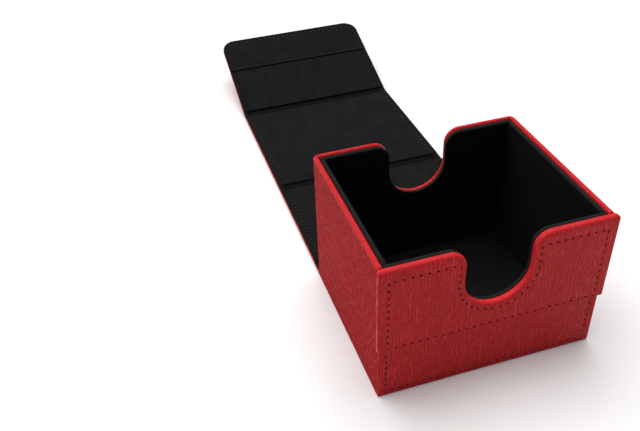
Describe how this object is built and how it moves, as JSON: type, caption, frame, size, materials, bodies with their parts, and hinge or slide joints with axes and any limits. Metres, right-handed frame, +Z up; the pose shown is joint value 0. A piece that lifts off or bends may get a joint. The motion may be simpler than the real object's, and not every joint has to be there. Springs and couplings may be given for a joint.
{
  "type": "card deck box",
  "caption": "Leather-covered box for a deck of sleeved cards: a notched, fabric-lined tray with a hinged wrap-round cover strip whose front flap closes with hidden magnets.",
  "frame": {"origin": "centre of the tray's footprint, on the surface that it stands on", "axes": "+X to the right and +Y to the back as the notched, panelled front faces the user, +Z up; the open cover lies along +Y"},
  "size_m": [0.106, 0.3297, 0.0728],
  "materials": {
    "leather": "deep red grained leather, semi-matt with a soft sheen",
    "board": "pressed grey paper board, hidden by leather and lining",
    "card": "black card, faced with fabric",
    "liner_fabric": "black microfibre, matt",
    "cover_lining": "black microfibre, matt with a faint nap",
    "thread": "red polyester sewing thread",
    "magnet": "plated disc magnets, hidden inside board and flap"
  },
  "bodies": {
    "tray": {"bottom_board": "board", "left_board": "board", "right_board": "board", "back_board": "board", "front_board": "board", "front_magnets": "magnet", "wall_leather": "leather", "front_panel_board": "board", "front_panel_leather": "leather", "front_panel_thread": "thread", "front_strip_leather": "leather", "front_strip_thread": "thread", "base_leather": "leather", "front_liner_card": "card", "front_liner_fabric": "liner_fabric", "back_liner_card": "card", "back_liner_fabric": "liner_fabric", "left_liner_card": "card", "left_liner_fabric": "liner_fabric", "right_liner_card": "card", "right_liner_fabric": "liner_fabric", "floor_liner_card": "card", "floor_liner_fabric": "liner_fabric"},
    "back_panel": {"back_panel_board": "board", "back_panel_leather": "leather", "back_panel_lining": "cover_lining", "back_panel_thread": "thread", "heel_crease_leather": "leather", "heel_crease_lining": "cover_lining"},
    "top_panel": {"top_panel_board": "board", "top_panel_leather": "leather", "top_panel_lining": "cover_lining", "top_panel_thread": "thread", "rear_crease_leather": "leather", "rear_crease_lining": "cover_lining"},
    "flap": {"flap_board": "board", "flap_leather": "leather", "flap_lining": "cover_lining", "flap_thread": "thread", "flap_magnets": "magnet", "magnet_pocket": "cover_lining", "magnet_pocket_thread": "thread", "front_crease_leather": "leather", "front_crease_lining": "cover_lining"}
  },
  "joints": [
    {"name": "heel_crease", "type": "hinge", "parent": "tray", "child": "back_panel", "pos_m": [0, 0.0462, 0.0015], "axis": [1, 0, 0], "range_deg": [0, 90], "deforming": ["heel_crease_leather", "heel_crease_lining"]},
    {"name": "rear_crease", "type": "hinge", "parent": "back_panel", "child": "top_panel", "pos_m": [0, 0.1202, 0.0015], "axis": [1, 0, 0], "range_deg": [0, 90], "deforming": ["rear_crease_leather", "rear_crease_lining"]},
    {"name": "front_crease", "type": "hinge", "parent": "top_panel", "child": "flap", "pos_m": [0, 0.2142, 0.0015], "axis": [1, 0, 0], "range_deg": [-19.5, 70.5], "deforming": ["front_crease_leather", "front_crease_lining"]}
  ]
}
